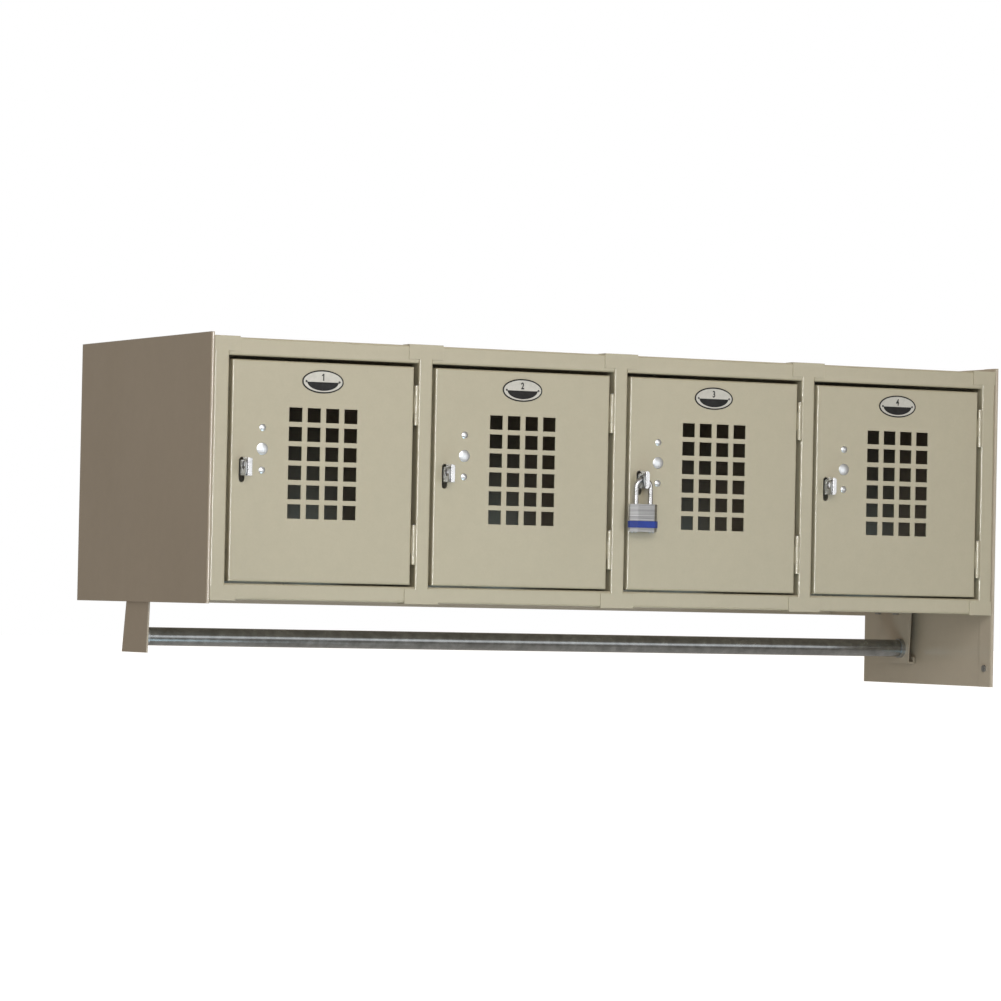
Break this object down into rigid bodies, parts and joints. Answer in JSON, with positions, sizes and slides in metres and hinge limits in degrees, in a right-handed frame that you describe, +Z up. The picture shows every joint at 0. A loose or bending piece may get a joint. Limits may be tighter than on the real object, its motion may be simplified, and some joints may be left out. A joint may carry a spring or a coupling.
{
  "type": "wall-hung locker cabinet",
  "caption": "Wall-hung row of box lockers with perforated hinged doors, padlock hasps, numbered plates and a coat rod carried on brackets underneath.",
  "frame": {"origin": "centre of the four wall-mounting holes, on the outer face of the back panel, at half the cabinet's height", "axes": "+Z up, +Y out of the back towards the wall, so the doors face -Y; +X to the right of someone facing the doors"},
  "size_m": [1.2528, 0.4813, 0.465],
  "materials": {
    "body_enamel": "satin putty enamel on sheet steel, fine orange peel",
    "frame_enamel": "satin putty enamel on sheet steel",
    "door_enamel": "satin putty enamel on sheet steel",
    "zinc": "zinc plated, dull",
    "rod_zinc": "zinc plated tube with drawn streaks",
    "chrome_plate": "bright chrome",
    "plug_chrome": "satin chrome caps",
    "rivet_steel": "dull dark steel rivets",
    "plate_silver": "satin anodised plate with dark enamel rim and panel",
    "laminated_steel": "ground laminated steel plates",
    "bumper_blue": "satin blue vinyl",
    "bumper_rubber": "matte black rubber"
  },
  "bodies": {
    "root": {"left_end_panel": "body_enamel", "right_end_panel": "body_enamel", "back_panel": "body_enamel", "top_panel": "body_enamel", "bottom_panel": "body_enamel", "divider_1": "body_enamel", "divider_2": "body_enamel", "divider_3": "body_enamel", "left_upright": "frame_enamel", "right_upright": "frame_enamel", "upright_1": "frame_enamel", "upright_2": "frame_enamel", "upright_3": "frame_enamel", "top_rail_1": "frame_enamel", "top_rail_2": "frame_enamel", "top_rail_3": "frame_enamel", "top_rail_4": "frame_enamel", "bottom_rail_1": "frame_enamel", "bottom_rail_2": "frame_enamel", "bottom_rail_3": "frame_enamel", "bottom_rail_4": "frame_enamel", "hinge_frame_leaves": "frame_enamel", "hinge_pins": "zinc", "door_bumpers": "bumper_rubber", "staple_1": "zinc", "staple_2": "zinc", "staple_3": "zinc", "staple_4": "zinc", "coat_rod": "rod_zinc", "rod_sockets": "zinc", "left_rod_bracket": "body_enamel", "right_rod_bracket": "body_enamel", "bolts": "zinc"},
    "door_1": {"door_1": "door_enamel", "door_hinge_leaves_1": "door_enamel", "pull_1": "chrome_plate", "number_plate_1": "plate_silver", "lock_plugs_1": "plug_chrome", "door_rivets_1": "rivet_steel"},
    "door_2": {"door_2": "door_enamel", "door_hinge_leaves_2": "door_enamel", "pull_2": "chrome_plate", "number_plate_2": "plate_silver", "lock_plugs_2": "plug_chrome", "door_rivets_2": "rivet_steel"},
    "door_3": {"door_3": "door_enamel", "door_hinge_leaves_3": "door_enamel", "pull_3": "chrome_plate", "number_plate_3": "plate_silver", "lock_plugs_3": "plug_chrome", "door_rivets_3": "rivet_steel"},
    "door_4": {"door_4": "door_enamel", "door_hinge_leaves_4": "door_enamel", "pull_4": "chrome_plate", "number_plate_4": "plate_silver", "lock_plugs_4": "plug_chrome", "door_rivets_4": "rivet_steel"},
    "padlock_shackle": {"padlock_shackle": "chrome_plate"},
    "padlock_body": {"padlock_body": "laminated_steel", "padlock_bumper": "bumper_blue"}
  },
  "joints": [
    {"name": "door_1_hinge", "type": "hinge", "parent": "root", "child": "door_1", "pos_m": [-0.3188, -0.4585, -0.0015], "axis": [0, 0, 1], "range_deg": [0, 110]},
    {"name": "door_2_hinge", "type": "hinge", "parent": "root", "child": "door_2", "pos_m": [-0.014, -0.4585, -0.0015], "axis": [0, 0, 1], "range_deg": [0, 110]},
    {"name": "door_3_hinge", "type": "hinge", "parent": "root", "child": "door_3", "pos_m": [0.2908, -0.4585, -0.0015], "axis": [0, 0, 1], "range_deg": [0, 110]},
    {"name": "door_4_hinge", "type": "hinge", "parent": "root", "child": "door_4", "pos_m": [0.5956, -0.4585, -0.0015], "axis": [0, 0, 1], "range_deg": [0, 110]},
    {"name": "padlock_swing", "type": "hinge", "parent": "door_3", "child": "padlock_shackle", "pos_m": [0.0322, -0.47, 0.003], "axis": [-1, 0, 0], "range_deg": [0, 80]},
    {"name": "padlock_slide", "type": "slide", "parent": "padlock_shackle", "child": "padlock_body", "axis": [0, 0, -1], "range_m": [0, 0.009]}
  ]
}
